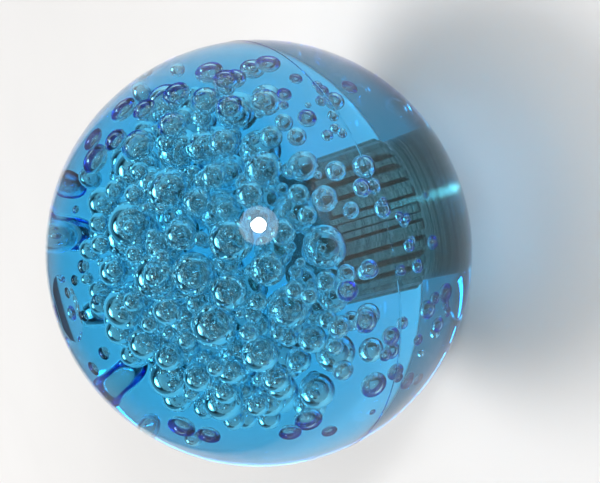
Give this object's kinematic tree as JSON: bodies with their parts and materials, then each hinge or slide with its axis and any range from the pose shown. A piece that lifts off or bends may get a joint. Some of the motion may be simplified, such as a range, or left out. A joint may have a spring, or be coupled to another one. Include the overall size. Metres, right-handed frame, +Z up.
{
  "type": "bubble ball paperweight",
  "caption": "Clear blue ball full of air bubbles, moulded round a splined metal insert with a blind threaded hole; it stands on the small flat round the hole",
  "frame": {"origin": "centre of the insert's mouth, in the plane of the flat that the ball stands on", "axes": "+Z up the insert's axis, from the mouth towards the small flat at the far pole; X and Y are free, and the looser bubbles of the clear skin lie mostly towards -Y"},
  "size_m": [0.06, 0.06, 0.0588],
  "materials": {
    "clear_blue": "polished clear blue, with air bubbles",
    "turned_steel": "turned, dark with bright tool marks"
  },
  "bodies": {
    "root": {"ball": "clear_blue", "insert": "turned_steel"}
  },
  "joints": []
}
